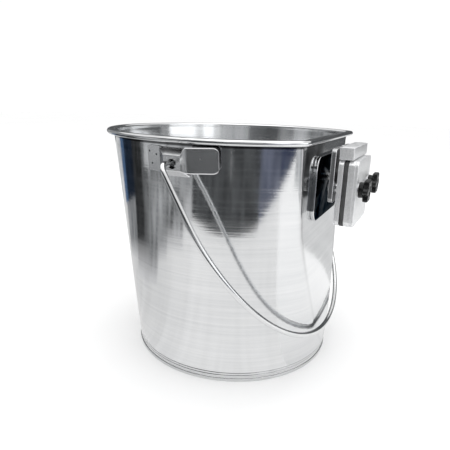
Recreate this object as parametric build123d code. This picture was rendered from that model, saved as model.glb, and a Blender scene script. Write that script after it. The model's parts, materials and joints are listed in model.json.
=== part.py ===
"""Flat-sided stainless pail with a wire bail and a detachable two-plate fence clamp.

Units are millimetres.  The origin is the centre of the base on the resting plane, +Z is up,
+X is the outward normal of the flat side, and the two ears stand at -Y (near) and +Y (far).
"""
import os
from math import atan, atan2, cos, degrees, radians, sin, sqrt, tan

from build123d import *

# Pail shell: a cone with one flat side.
PAIL_HEIGHT = 223.4
SHEET = 0.9
BASE_RADIUS = 102.7          # outside of the wall at z = 0
TOP_RADIUS = 123.3           # outside of the wall under the rim
RIM_WIDTH = 6.7              # outside of the wall to the outside of the rolled rim
RIM_DEPTH = 4.5
RIM_ROUND = 2.2
RIM_SLOT = 1.0               # open gap where the curl comes back to the wall
WALL_TOP = PAIL_HEIGHT - RIM_DEPTH
WALL_FOOT = 1.0              # lower end of the wall, inside the hem of the bottom
FLAT_X = 92.0                # outside of the flat side, upright down to FLAT_BEND_Z
FLAT_BEND_Z = 140.0
FLAT_BASE_X = 105.6          # where the sloping lower flat would reach z = 0
FLAT_FADE = 0.05             # least depth of the flat where it runs out into the cone
CORNER_TOP = 7.0             # blend between the flat and the round wall at the top
CORNER_BASE = 60.0
SECTION_HEIGHTS = (WALL_FOOT, 15.0, 40.0, 70.0, 105.0, FLAT_BEND_Z, WALL_TOP)

# Pressed bottom, hemmed round the foot of the wall.
BOTTOM_LIFT = 4.0            # underside of the disc above the resting plane
HEM_HEIGHT = 3.0
HEM_SHEET = 0.5
HEM_FLOOR = 0.8
HEM_GAP = 0.1

# Ears: one pressed sheet each, drawn on a plane that leans with the wall.
EAR_SHEET = 1.2
EAR_Z = 205.0
EAR_GAP = 0.1
FLANGE_S = (-25.0, -10.5)
FLANGE_G = (-10.0, 10.3)
FLANGE_STEPS = 5
FLANGE_ROUND = 2.0
BRIDGE_S = (-11.5, 12.0)
BRIDGE_G = (-12.5, 9.8)
BRIDGE_RUN_ON = 12.0         # the bridge is drawn past its open end, then cut there
PANEL_S = (-1.5, 11.0)
PANEL_G = (-6.8, 5.3)
PANEL_N = 7.4                # outer face of the bridge panel above the wall
TAB_S = (16.0, 40.8)
TAB_G = (-7.9, 12.3)
TAB_N = 9.2
TAB_TURN = 20.0              # the hook tab turns back towards the wall by this angle
TAB_ROUND = 4.0
TAB_LAP = 0.5                # the tab starts inside the end of the ramp
PIVOT_HOLE_R = 4.0
PIVOT_HOLE = (3.4, 203.6)    # X and Z of the hole in each ear
WELD_SPOTS = ((-22.6, 5.6), (-15.4, 3.5), (-20.3, -4.2))
WELD_R = 0.7
WELD_DEPTH = 0.3

# Bail: one wire, pivoting in both ears.
WIRE_R = 2.4
PIVOT_X = 2.4
PIVOT_Z = 203.4
BAIL_TILT = 32.4             # degrees from hanging straight down, towards +X
BAIL_DROP = 196.6            # pivot axis to the middle of the bow
BOW_RADIUS = 146.2
LEG_FLARE = 3.8
ELBOW_RADIUS = 7.0
BAIL_HEAD_R = 5.2
BAIL_HEAD_Y = (123.7, 125.3)

# Hanger: a shallow pressed cap on the flat side, and a headed stud.
HANGER_HALF_WIDTH = 45.0
HANGER_Z = (149.0, 207.0)
HANGER_FACE_X = 95.5
HANGER_BACK_X = FLAT_X + 0.15
HANGER_SHEET = 1.4
HANGER_CORNER = 12.0
HANGER_EDGE = 1.0
STUD_Z = 185.0
STUD_NECK_R = 4.0
STUD_HEAD_R = 8.5
STUD_HEAD_X = (108.0, 110.0)
STUD_FOOT_R = 10.0
STUD_FOOT = 1.6

# Clamp: plates across X, all with the same width.
CLAMP_HALF_WIDTH = 33.0
PLATE_CORNER = 5.5
JAW_Z = (146.0, 204.6)
DOCK_X = (103.5, 107.5)
DOCK_Z = (166.5, 214.0)
DOCK_CORNER = 4.5
DOCK_SLOT_R = 4.3
BACK_X = (110.3, 114.8)
LEDGE_X = 122.4
LEDGE_Z = (205.4, 215.8)
PAD_X = (115.3, 118.7)
FRONT_X = (118.9, 124.4)
COVER_X = (124.5, 127.2)
COVER_EDGE = 0.5

# Screws and star knobs.
BOLT_Y = 24.0
BOLT_Z = 179.5
BOLT_R = 3.0
BOLT_HEAD_R = 6.5
BOLT_HEAD = 2.6
BOLT_END_X = 134.6
BOLT_FIT = 0.05
BOLT_SQUARE = 6.2            # side of the square neck that stops the bolt turning
BOLT_NECK = 3.0
CLEAR_HOLE_R = 3.4
SPACER_R = 5.0
WASHER_R = 6.5
WASHER = 1.0
KNOB_HUB_R = 7.0
KNOB_HUB = 4.2
KNOB_HEAD = 4.9
KNOB_LOBES = 6
KNOB_LOBE_R = 2.7
KNOB_LOBE_PITCH = 7.9
KNOB_CORE_R = 7.6
KNOB_EDGE = 0.7
KNOB_GAP = 0.05              # running gap between washer and hub
INSERT_R = 4.5
INSERT_LENGTH = 7.4
INSERT_FIT = 0.02

WALL_SLOPE = (TOP_RADIUS - BASE_RADIUS) / WALL_TOP
WALL_LEAN = atan(WALL_SLOPE)


def wall_radius(z):
    """Outside radius of the round wall at a height."""
    return BASE_RADIUS + WALL_SLOPE * z


def flat_distance(z):
    """Outside of the flat side at a height, measured along X."""
    slope = (FLAT_BASE_X - FLAT_X) / FLAT_BEND_Z
    leaning = FLAT_BASE_X - slope * z
    return min(max(FLAT_X, leaning), wall_radius(z) - FLAT_FADE)


def corner_radius(z):
    """Blend radius between flat and round wall: small at the top, wide where the flat runs out."""
    fall = (WALL_TOP - z) / WALL_TOP
    return CORNER_TOP + (CORNER_BASE - CORNER_TOP) * max(fall, 0.0) ** 2


def d_outline(radius, flat_x, corner, z):
    """Closed outline of a circle cut by a flat at +X, with both corners rounded."""
    centre_x = flat_x - corner
    centre_y = sqrt((radius - corner) ** 2 - centre_x ** 2)
    reach = radius / (radius - corner)
    half = atan2(centre_y, centre_x) / 2
    start = Vector(flat_x, 0, z)
    flat_end = Vector(flat_x, centre_y, z)
    blend = Vector(centre_x + corner * cos(half), centre_y + corner * sin(half), z)
    round_end = Vector(centre_x * reach, centre_y * reach, z)

    def mirrored(point):
        return Vector(point.X, -point.Y, point.Z)

    return Wire([
        Edge.make_line(start, flat_end),
        Edge.make_three_point_arc(flat_end, blend, round_end),
        Edge.make_three_point_arc(round_end, Vector(-radius, 0, z), mirrored(round_end)),
        Edge.make_three_point_arc(mirrored(round_end), mirrored(blend), mirrored(flat_end)),
        Edge.make_line(mirrored(flat_end), start),
    ])


def wall_loft(inset, heights):
    """Solid inside the wall's surface moved inwards by an inset."""
    outlines = [
        d_outline(wall_radius(z) - inset, flat_distance(z) - inset, corner_radius(z) - inset, z)
        for z in heights
    ]
    return Solid.make_loft(outlines, True)


def plate_x(x_span, half_width, z_span, corner):
    """Plate across X whose outline has rounded corners, centred on the XZ plane."""
    height = z_span[1] - z_span[0]
    plane = Plane(origin=(x_span[0], 0, (z_span[0] + z_span[1]) / 2), x_dir=(0, 1, 0), z_dir=(1, 0, 0))
    return extrude(plane * RectangleRounded(2 * half_width, height, corner), x_span[1] - x_span[0])


def rod_x(radius, x_span, y=0.0, z=0.0):
    """Round rod along X."""
    plane = Plane(origin=(x_span[0], y, z), x_dir=(0, 1, 0), z_dir=(1, 0, 0))
    return extrude(plane * Circle(radius), x_span[1] - x_span[0])


def block(x_span, y_span, z_span):
    """Plain block between three pairs of faces."""
    size = [span[1] - span[0] for span in (x_span, y_span, z_span)]
    centre = [(span[1] + span[0]) / 2 for span in (x_span, y_span, z_span)]
    return Pos(*centre) * Box(*size)


def rolled_rim():
    """Hollow curl swept round the mouth; its end comes back towards the wall and leaves a slot."""
    width = RIM_WIDTH + SHEET
    middle_n = (RIM_WIDTH - SHEET) / 2
    curl = Pos(middle_n, 0) * RectangleRounded(width, RIM_DEPTH, RIM_ROUND)
    curl -= Pos(middle_n, 0) * RectangleRounded(width - 2 * SHEET, RIM_DEPTH - 2 * SHEET, RIM_ROUND - SHEET)
    curl -= Pos(RIM_SLOT / 2, -RIM_DEPTH / 2) * Rectangle(RIM_SLOT, RIM_DEPTH)
    curl += Pos(-SHEET / 2, -RIM_DEPTH / 4) * Rectangle(SHEET, RIM_DEPTH / 2)
    level = PAIL_HEIGHT - RIM_DEPTH / 2
    plane = Plane(origin=(FLAT_X, 0, level), x_dir=(1, 0, 0), z_dir=(0, -1, 0))
    path = d_outline(TOP_RADIUS, FLAT_X, CORNER_TOP, level)
    return sweep(plane * curl, path=path)


def pail_body():
    """Drawn wall with its rolled rim."""
    wall = wall_loft(0, SECTION_HEIGHTS) - wall_loft(SHEET, SECTION_HEIGHTS)
    return wall + rolled_rim()


def pail_bottom():
    """Raised disc whose edge turns down inside the wall, under its foot and up outside it."""
    inner = wall_radius(0) - SHEET - HEM_GAP
    outer = wall_radius(HEM_HEIGHT) + HEM_GAP
    profile = Polyline(
        (0, BOTTOM_LIFT),
        (inner - SHEET, BOTTOM_LIFT),
        (inner - SHEET, 0),
        (outer + HEM_SHEET, 0),
        (outer + HEM_SHEET, HEM_HEIGHT),
        (outer, HEM_HEIGHT),
        (outer, HEM_FLOOR),
        (inner, HEM_FLOOR),
        (inner, BOTTOM_LIFT + SHEET),
        (0, BOTTOM_LIFT + SHEET),
        close=True,
    )
    return revolve(Plane.XZ * make_face(profile), Axis.Z)


def wall_fall(s):
    """How far the round wall falls away from its tangent plane at a sideways distance."""
    radius = wall_radius(EAR_Z)
    return radius - sqrt(radius ** 2 - s ** 2)


def ear_point(s, n, g):
    """Point on the ear's own axes: s sideways, n out from the wall, g up the slope of the wall."""
    return Vector(s, -n, g)


def frustum(low, high):
    """Solid between two four-cornered outlines."""
    outlines = [Wire.make_polygon(corners, close=True) for corners in (low, high)]
    return Solid.make_loft(outlines, True)


def facing_rectangle(s_span, g_span, n):
    """Corners of a rectangle parallel to the wall."""
    return [ear_point(s, n, g) for s, g in (
        (s_span[0], g_span[0]), (s_span[1], g_span[0]), (s_span[1], g_span[1]), (s_span[0], g_span[1]))]


def edge_rectangle(s, n_span, g_span):
    """Corners of a rectangle square to the wall."""
    return [ear_point(s, n, g) for n, g in (
        (n_span[0], g_span[0]), (n_span[1], g_span[0]), (n_span[1], g_span[1]), (n_span[0], g_span[1]))]


def ear_flange():
    """Welded end of the ear, curved to the wall, with three spot marks."""
    steps = [FLANGE_S[0] + (FLANGE_S[1] - FLANGE_S[0]) * i / FLANGE_STEPS for i in range(FLANGE_STEPS + 1)]
    inner = [(s, wall_fall(s) - EAR_GAP) for s in steps]
    outer = [(s, wall_fall(s) - EAR_GAP - EAR_SHEET) for s in reversed(steps)]
    flange = extrude(Pos(0, 0, FLANGE_G[0]) * make_face(Polyline(*inner, *outer, close=True)),
                     FLANGE_G[1] - FLANGE_G[0])
    corners = flange.edges().filter_by(Axis.Y, tolerance=15).group_by(Axis.X)[0]
    flange = fillet(corners, FLANGE_ROUND)
    for s, g in WELD_SPOTS:
        face = wall_fall(s) - EAR_GAP - EAR_SHEET
        flange -= Pos(s, face, g) * Rot(90, 0, 0) * Cylinder(WELD_R, 2 * WELD_DEPTH)
    return flange


def ear_bridge():
    """Raised bridge over the wire's end, open towards the hook tab."""
    panel_end = PANEL_S[1] + BRIDGE_RUN_ON
    base_end = BRIDGE_S[1] + BRIDGE_RUN_ON

    def pressed(inset, base_n, top_n):
        base = facing_rectangle(
            (BRIDGE_S[0] + inset, base_end), (BRIDGE_G[0] + inset, BRIDGE_G[1] - inset), base_n)
        top = facing_rectangle(
            (PANEL_S[0] + inset, panel_end), (PANEL_G[0] + inset, PANEL_G[1] - inset), top_n)
        return frustum(base, top)

    bridge = pressed(0, EAR_GAP, PANEL_N) - pressed(EAR_SHEET, EAR_GAP - EAR_SHEET, PANEL_N - EAR_SHEET)
    beyond = block((BRIDGE_S[1], base_end + 1), (-PANEL_N - 1, 2), (BRIDGE_G[0] - 1, BRIDGE_G[1] + 1))
    return bridge - beyond


def ear_tab():
    """Ramp and flat hook tab with rounded free corners."""
    ramp = frustum(
        edge_rectangle(PANEL_S[1] - EAR_SHEET, (PANEL_N - EAR_SHEET, PANEL_N), PANEL_G),
        edge_rectangle(TAB_S[0], (TAB_N - EAR_SHEET, TAB_N), TAB_G),
    )
    start = TAB_S[0] - TAB_LAP
    length = (TAB_S[1] - start) / cos(radians(TAB_TURN))
    height = TAB_G[1] - TAB_G[0]
    outline = Pos(length / 2, height / 2) * Rectangle(length, height)
    outline = fillet(outline.vertices().group_by(Axis.X)[-1], TAB_ROUND)
    turn = radians(TAB_TURN)
    plane = Plane(
        origin=(start, EAR_SHEET - TAB_N - TAB_LAP * tan(turn), TAB_G[0]),
        x_dir=(cos(turn), sin(turn), 0),
        z_dir=(sin(turn), -cos(turn), 0),
    )
    return ramp + extrude(plane * outline, EAR_SHEET)


def ear(side):
    """One pressed ear: welded flange, bridge with the pivot hole, and hook tab."""
    sheet = ear_flange() + ear_bridge() + ear_tab()
    plane = Plane(
        origin=(0, -wall_radius(EAR_Z), EAR_Z),
        x_dir=(1, 0, 0),
        z_dir=(0, -sin(WALL_LEAN), cos(WALL_LEAN)),
    )
    placed = plane.location * sheet
    hole = Pos(PIVOT_HOLE[0], -wall_radius(EAR_Z), PIVOT_HOLE[1]) * Rot(90, 0, 0) * Cylinder(PIVOT_HOLE_R, 40)
    placed -= hole
    return placed if side < 0 else mirror(placed, about=Plane.XZ)


def bail_wire():
    """Round wire: peened head, elbow and flared leg at each side, joined by a circular bow."""
    flare = radians(LEG_FLARE)
    bow_centre = BOW_RADIUS - BAIL_DROP
    bow_start = Vector(BOW_RADIUS * cos(flare), bow_centre + BOW_RADIUS * sin(flare))
    elbow = Vector(bow_start.X - bow_start.Y * -tan(flare), 0)
    head_y = sum(BAIL_HEAD_Y) / 2
    paths = []
    for side in (-1, 1):
        points = [(side * head_y, 0), (side * elbow.X, 0), (side * bow_start.X, bow_start.Y)]
        paths.append(FilletPolyline(*points, radius=ELBOW_RADIUS))
    bow = ThreePointArc((-bow_start.X, bow_start.Y), (0, -BAIL_DROP), (bow_start.X, bow_start.Y))
    path = Wire(paths[0].edges() + bow.edges() + paths[1].edges())
    section = Plane(origin=(-head_y, 0, 0), x_dir=(0, 1, 0), z_dir=(1, 0, 0)) * Circle(WIRE_R)
    wire = sweep(section, path=path)
    for side in (-1, 1):
        head = Cylinder(BAIL_HEAD_R, BAIL_HEAD_Y[1] - BAIL_HEAD_Y[0])
        wire += Pos(side * head_y, 0, 0) * Rot(0, 90, 0) * head
    tilt = radians(BAIL_TILT)
    plane = Plane(origin=(PIVOT_X, 0, PIVOT_Z), x_dir=(0, 1, 0), z_dir=(cos(tilt), 0, sin(tilt)))
    return plane.location * wire


def hanger_plate():
    """Shallow pressed cap on the flat side, open at the back, with a hole for the stud."""
    cap = plate_x((HANGER_BACK_X, HANGER_FACE_X), HANGER_HALF_WIDTH, HANGER_Z, HANGER_CORNER)
    cap = fillet(cap.faces().sort_by(Axis.X)[-1].edges(), HANGER_EDGE)
    hollow_z = (HANGER_Z[0] + HANGER_SHEET, HANGER_Z[1] - HANGER_SHEET)
    cap -= plate_x((HANGER_BACK_X - 1, HANGER_FACE_X - HANGER_SHEET), HANGER_HALF_WIDTH - HANGER_SHEET,
                   hollow_z, HANGER_CORNER - HANGER_SHEET)
    return cap - rod_x(STUD_NECK_R + INSERT_FIT, (HANGER_BACK_X, HANGER_FACE_X + 1), 0, STUD_Z)


def hanger_stud():
    """Headed stud: foot behind the hanger plate, neck through it, head that the clamp hooks on."""
    foot_front = HANGER_FACE_X - HANGER_SHEET - INSERT_FIT
    stud = rod_x(STUD_FOOT_R, (foot_front - STUD_FOOT, foot_front), 0, STUD_Z)
    stud += rod_x(STUD_NECK_R, (foot_front - STUD_FOOT, STUD_HEAD_X[1]), 0, STUD_Z)
    return stud + rod_x(STUD_HEAD_R, STUD_HEAD_X, 0, STUD_Z)


def bolt_holes(radius, x_span):
    """Two holes along X for the clamp bolts."""
    return [rod_x(radius, x_span, side * BOLT_Y, BOLT_Z) for side in (-1, 1)]


def docking_plate():
    """Plate with a slot, open at the top, that drops over the stud's neck."""
    plate = plate_x(DOCK_X, CLAMP_HALF_WIDTH, DOCK_Z, DOCK_CORNER)
    plate -= rod_x(DOCK_SLOT_R, DOCK_X, 0, STUD_Z)
    plate -= block(DOCK_X, (-DOCK_SLOT_R, DOCK_SLOT_R), (STUD_Z, DOCK_Z[1] + 1))
    hole = BOLT_SQUARE / 2 + BOLT_FIT
    for side in (-1, 1):
        y = side * BOLT_Y
        plate -= block(DOCK_X, (y - hole, y + hole), (BOLT_Z - hole, BOLT_Z + hole))
    return plate


def clamp_back_plate():
    """Fixed jaw with the ledge that rests over the top of the front plates."""
    plate = plate_x(BACK_X, CLAMP_HALF_WIDTH, JAW_Z, PLATE_CORNER)
    plate += block((BACK_X[0], LEDGE_X), (-CLAMP_HALF_WIDTH, CLAMP_HALF_WIDTH), LEDGE_Z)
    neck = CLAMP_HALF_WIDTH - PLATE_CORNER
    plate += block(BACK_X, (-neck, neck), (JAW_Z[1] - PLATE_CORNER, LEDGE_Z[0]))
    return plate - bolt_holes(BOLT_R + BOLT_FIT, BACK_X)


def jaw_plate(x_span, edge=0.0):
    """Moving jaw plate with clearance holes; edge rounds its outer face."""
    plate = plate_x(x_span, CLAMP_HALF_WIDTH, JAW_Z, PLATE_CORNER)
    if edge:
        plate = fillet(plate.faces().sort_by(Axis.X)[-1].edges(), edge)
    return plate - bolt_holes(CLEAR_HOLE_R, x_span)


def clamp_bolt(side):
    """Carriage bolt: domed head, square neck in the docking plate, round shank."""
    y = side * BOLT_Y
    head_span = (DOCK_X[0] - BOLT_HEAD, DOCK_X[0])
    head = rod_x(BOLT_HEAD_R, head_span, y, BOLT_Z)
    head = fillet(head.edges().sort_by(Axis.X)[0], BOLT_HEAD * 0.8)
    half = BOLT_SQUARE / 2
    neck = block((DOCK_X[0], DOCK_X[0] + BOLT_NECK), (y - half, y + half), (BOLT_Z - half, BOLT_Z + half))
    shank = rod_x(BOLT_R, (DOCK_X[0], BOLT_END_X), y, BOLT_Z)
    shank = chamfer(shank.edges().sort_by(Axis.X)[-1], BOLT_R / 5)
    return head + neck + shank


def ring_x(outer, inner, x_span, side):
    """Round ring on a clamp bolt."""
    y = side * BOLT_Y
    return rod_x(outer, x_span, y, BOLT_Z) - rod_x(inner, x_span, y, BOLT_Z)


def spacer(side):
    """Ring that keeps the docking plate off the back plate, so that the stud's head fits between."""
    return ring_x(SPACER_R, BOLT_R + BOLT_FIT, (DOCK_X[1], BACK_X[0]), side)


def washer(side):
    """Flat washer under the knob."""
    return ring_x(WASHER_R, CLEAR_HOLE_R, (COVER_X[1], COVER_X[1] + WASHER), side)


def knob_start():
    """X of the hub's inner end."""
    return COVER_X[1] + WASHER + KNOB_GAP


def knob(side):
    """Star knob: round hub and a lobed head, with a blind bore for the insert."""
    start = knob_start()
    outline = Sketch() + Circle(KNOB_CORE_R)
    outline += [loc * Circle(KNOB_LOBE_R) for loc in PolarLocations(KNOB_LOBE_PITCH, KNOB_LOBES)]
    plane = Plane(origin=(start + KNOB_HUB, side * BOLT_Y, BOLT_Z), x_dir=(0, 1, 0), z_dir=(1, 0, 0))
    head = extrude(plane * outline, KNOB_HEAD)
    head = chamfer(head.faces().sort_by(Axis.X)[-1].edges(), KNOB_EDGE)
    body = head + rod_x(KNOB_HUB_R, (start, start + KNOB_HUB), side * BOLT_Y, BOLT_Z)
    bore_end = start + INSERT_LENGTH + KNOB_GAP
    return body - rod_x(INSERT_R + INSERT_FIT, (start, bore_end), side * BOLT_Y, BOLT_Z)


def knob_insert(side):
    """Metal bush moulded into the knob."""
    start = knob_start() + INSERT_FIT
    return ring_x(INSERT_R, BOLT_R + BOLT_FIT, (start, start + INSERT_LENGTH), side)


def parts():
    """Every piece by name."""
    pieces = {
        "pail_body": pail_body(),
        "pail_bottom": pail_bottom(),
        "bail_wire": bail_wire(),
        "hanger_plate": hanger_plate(),
        "hanger_stud": hanger_stud(),
        "docking_plate": docking_plate(),
        "clamp_back_plate": clamp_back_plate(),
        "clamp_pad": jaw_plate(PAD_X),
        "clamp_front_plate": jaw_plate(FRONT_X),
        "clamp_front_cover": jaw_plate(COVER_X, COVER_EDGE),
    }
    makers = {
        "ear": ear,
        "docking_spacer": spacer,
        "clamp_bolt": clamp_bolt,
        "washer": washer,
        "star_knob": knob,
        "knob_insert": knob_insert,
    }
    for name, maker in makers.items():
        pieces[name + "_near"] = maker(-1)
        pieces[name + "_far"] = maker(1)
    return pieces


os.makedirs("parts", exist_ok=True)
for node, piece in parts().items():
    export_step(piece, f"parts/{node}.step")
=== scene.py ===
"""Looks of the flat-sided steel pail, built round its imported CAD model.

Everything is in metres in the CAD model's own frame: origin at the centre of the base, +Z up,
+X the outward normal of the flat side, ears at -Y (near) and +Y (far).
"""
import json
import math

import bmesh
import bpy
from mathutils import Matrix, Vector, noise


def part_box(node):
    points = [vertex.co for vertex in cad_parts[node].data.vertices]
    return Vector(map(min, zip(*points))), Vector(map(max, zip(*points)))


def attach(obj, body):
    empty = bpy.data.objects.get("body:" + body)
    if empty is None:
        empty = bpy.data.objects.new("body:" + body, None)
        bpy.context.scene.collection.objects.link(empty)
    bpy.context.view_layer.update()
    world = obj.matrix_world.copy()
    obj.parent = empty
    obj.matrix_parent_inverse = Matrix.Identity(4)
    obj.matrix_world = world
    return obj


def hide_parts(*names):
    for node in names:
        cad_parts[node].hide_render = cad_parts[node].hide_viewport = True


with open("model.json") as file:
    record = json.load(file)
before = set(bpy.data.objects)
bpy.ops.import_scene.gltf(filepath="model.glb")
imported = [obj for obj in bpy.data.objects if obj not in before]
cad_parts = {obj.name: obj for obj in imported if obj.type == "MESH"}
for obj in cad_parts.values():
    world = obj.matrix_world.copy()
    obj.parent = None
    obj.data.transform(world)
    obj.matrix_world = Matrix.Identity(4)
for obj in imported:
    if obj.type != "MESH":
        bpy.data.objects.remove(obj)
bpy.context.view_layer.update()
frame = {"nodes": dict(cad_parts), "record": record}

MM = 0.001
NEAR_AXIS = 0.0005 * MM
RECORD = frame["record"]
BODY_OF = {node: body for body, nodes in RECORD["behaviour"]["bodies"].items() for node in nodes}

# Camera: where it stood, measured from the pail's base, and how it was turned.
CAMERA_AZIMUTH = 24.679
CAMERA_DISTANCE = 0.4485
CAMERA_HEIGHT = 0.25006
CAMERA_YAW = -1.466
CAMERA_PITCH = 15.966
CAMERA_ROLL = 1.679
CAMERA_LENS = 34.448

# Pail shell. The rim's size comes from the frame, the rest from the sheet and the taper.
RIM_LOW, RIM_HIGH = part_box("pail_body")
PAIL_HEIGHT = RIM_HIGH.z
WALL_FOOT = RIM_LOW.z
RIM_WIDTH = 6.7 * MM
RIM_DEPTH = 4.5 * MM
RIM_ROUND = 2.2 * MM
RIM_SLOT = 1.0 * MM
SHEET = 0.9 * MM
TOP_RADIUS = RIM_HIGH.y - RIM_WIDTH
HANGER_GAP = 0.15 * MM
FLAT_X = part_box("hanger_plate")[0].x - HANGER_GAP
BASE_RADIUS = 102.7 * MM
WALL_TOP = PAIL_HEIGHT - RIM_DEPTH
WALL_SLOPE = (TOP_RADIUS - BASE_RADIUS) / WALL_TOP
WALL_LEAN = math.atan(WALL_SLOPE)
FLAT_BASE_X = 105.6 * MM
FLAT_BEND_Z = 140.0 * MM
FLAT_BEND_SOFT = 0.12 * MM
FLAT_FADE = 0.05 * MM
FLAT_STEPS = 24
FLAT_BULGE = 1.1 * MM
CORNER_START = FLAT_STEPS
CORNER_TOP = 7.0 * MM
CORNER_BASE = 60.0 * MM
# Pressed lines above the foot, painted shade in them and under the rim, and small marks of use. A nick is
# an azimuth in degrees and a depth, and its half-width is in degrees too.
GROOVES = (6.5 * MM, 9.0 * MM)
GROOVE_DEPTH = 0.3 * MM
GROOVE_HALF = 0.35 * MM
GROOVE_SHADE = 0.55
CREVICE_SHADE = 0.85
CREVICE_DEPTH = 2.7 * MM
CREVICE_FADE = 0.8 * MM
RIM_NICKS = ((2.3, 0.12 * MM), (5.4, 0.2 * MM))
RIM_NICK_HALF = 0.9
CREASE_HALF = 3.0 * MM
WALL_RIPPLE = 0.03 * MM
RIPPLE_FADE = 20.0 * MM

# Bail.
WIRE_RADIUS = 2.4 * MM
PIVOT = Vector((2.4, 0.0, 203.4)) * MM
BAIL_TILT = math.radians(32.4)
BAIL_DROP = 196.6 * MM
BOW_RADIUS = 146.2 * MM
LEG_FLARE = math.radians(3.8)
ELBOW_RADIUS = 7.0 * MM
HEAD_RADIUS = 5.2 * MM
HEAD_Y = (123.7 * MM, 125.3 * MM)

# Ears, on axes that lean with the wall: s sideways, n out from the wall, g up.
EAR_Z = 205.0 * MM
EAR_SHEET = 1.2 * MM
EAR_GAP = 0.1 * MM
PIVOT_HOLE = (3.4 * MM, -1.4 * MM)
PIVOT_HOLE_RADIUS = 4.0 * MM
WELD_SPOTS = ((-22.6, 5.6), (-15.4, 3.5), (-20.3, -4.2))
WELD_RADIUS = 0.95 * MM
# Stations along s and edges along g, in millimetres, of the ear's flange, bridge, panel and tab.
FLANGE_S, FLANGE_G, FLANGE_ROUND = (-25.0, -10.5), (-10.0, 10.3), 2.4
BRIDGE_S, BRIDGE_G = (-11.5, 12.0), (-12.5, 9.8)
PANEL_S, PANEL_G, PANEL_N = (-4.4, 11.0), (-6.8, 5.3), 7.4
TAB_S, TAB_G, TAB_N, TAB_ROUND = (16.0, 40.8), (-7.9, 12.3), 9.2, 4.2
TAB_TURN = math.radians(20.0)
TAB_BEND = 3.2
TAB_ROWS = (0.0, 0.06, 0.3, 0.7, 0.94, 1.0)
RUN_OUT = 4.5


# ---------------------------------------------------------------- general helpers

def new_object(name, mesh):
    """Object at the origin that shows a mesh."""
    obj = bpy.data.objects.new(name, mesh)
    bpy.context.scene.collection.objects.link(obj)
    return obj


def mesh_object(name, points, faces):
    """Object from points and faces, with its normals turned outwards."""
    mesh = bpy.data.meshes.new(name)
    mesh.from_pydata([tuple(p) for p in points], [], faces)
    work = bmesh.new()
    work.from_mesh(mesh)
    bmesh.ops.recalc_face_normals(work, faces=work.faces)
    work.to_mesh(mesh)
    work.free()
    return new_object(name, mesh)


def smooth(obj, angle=35.0):
    """Smooth shading, with edges sharper than an angle kept crisp."""
    for polygon in obj.data.polygons:
        polygon.use_smooth = True
    obj.data.set_sharp_from_angle(angle=math.radians(angle))
    return obj


def apply_modifiers(obj):
    """Replace an object's mesh with what its modifiers make of it."""
    bpy.context.view_layer.update()
    graph = bpy.context.evaluated_depsgraph_get()
    baked = bpy.data.meshes.new_from_object(obj.evaluated_get(graph))
    obj.modifiers.clear()
    obj.data = baked
    return obj


def loops_to_faces(rings, closed_rings=True):
    """Quads between rings of equal length; closed_rings joins the last ring to the first."""
    count = len(rings[0])
    faces = []
    pairs = len(rings) if closed_rings else len(rings) - 1
    for i in range(pairs):
        low = i * count
        high = ((i + 1) % len(rings)) * count
        for j in range(count):
            k = (j + 1) % count
            faces.append((low + j, low + k, high + k, high + j))
    return [point for ring in rings for point in ring], faces


def lathe(name, profile, segments=160, at=(0, 0, 0), turn=None, closed=True):
    """Solid of revolution about Z from (radius, height) points, optionally turned and moved."""
    rings = []
    for radius, height in profile:
        rings.append([
            Vector((radius * math.cos(a), radius * math.sin(a), height))
            for a in (2 * math.pi * i / segments for i in range(segments))
        ])
    points, faces = loops_to_faces(rings, closed)
    obj = mesh_object(name, points, faces)
    if turn is not None:
        obj.data.transform(turn.to_4x4())
    obj.data.transform(Matrix.Translation(at))
    return obj


def lerp(a, b, t):
    """Straight blend, held at its ends."""
    return a + (b - a) * min(1.0, max(0.0, t))


def arc_points(centre, radius, start, end, steps):
    """Points of an arc in a plane, angles in degrees."""
    return [
        (centre[0] + radius * math.cos(math.radians(start + (end - start) * i / steps)),
         centre[1] + radius * math.sin(math.radians(start + (end - start) * i / steps)))
        for i in range(steps + 1)
    ]


def keep_shares(obj, name, domain, values):
    """Keep a share for each point or face of a mesh, for its material to read."""
    attribute = obj.data.attributes.new(name, "FLOAT", domain)
    attribute.data.foreach_set("value", values)


def mark_edge_highlight(obj):
    """Mark the narrow faces of eased edges, which get a painted highlight."""
    least, most = math.radians(18), math.radians(50)
    work = bmesh.new()
    work.from_mesh(obj.data)
    edge_highlight = [
        float(any(least < edge.calc_face_angle(0.0) < most for edge in face.edges))
        for face in work.faces
    ]
    work.free()
    keep_shares(obj, "edge_highlight", "FACE", edge_highlight)


def dress(obj, node, material):
    """Give a piece its material and its body, and hide the CAD node that it stands for."""
    obj.data.materials.clear()
    obj.data.materials.append(material)
    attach(obj, BODY_OF[node])
    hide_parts(node)
    return obj


# ---------------------------------------------------------------- camera

def make_camera():
    """Camera at the reference angle."""
    azimuth, yaw, pitch, roll = (
        math.radians(v) for v in (CAMERA_AZIMUTH, CAMERA_YAW, CAMERA_PITCH, CAMERA_ROLL))
    ahead = Vector((-math.sin(azimuth), math.cos(azimuth), 0))
    aside = Vector((math.cos(azimuth), math.sin(azimuth), 0))
    level = math.cos(yaw) * ahead + math.sin(yaw) * aside
    view = math.cos(pitch) * level - math.sin(pitch) * Vector((0, 0, 1))
    right = math.cos(yaw) * aside - math.sin(yaw) * ahead
    up = right.cross(view)
    right, up = (
        math.cos(roll) * right + math.sin(roll) * up,
        math.cos(roll) * up - math.sin(roll) * right,
    )
    turn = Matrix((right, up, -view)).transposed().to_4x4()
    data = bpy.data.cameras.new("camera")
    data.sensor_width = 36.0
    data.lens = CAMERA_LENS
    data.clip_start = 0.01
    camera = new_object("camera", data)
    spot = -ahead * CAMERA_DISTANCE + Vector((0, 0, CAMERA_HEIGHT))
    camera.matrix_world = Matrix.Translation(spot) @ turn
    bpy.context.scene.camera = camera


# ---------------------------------------------------------------- materials

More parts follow.
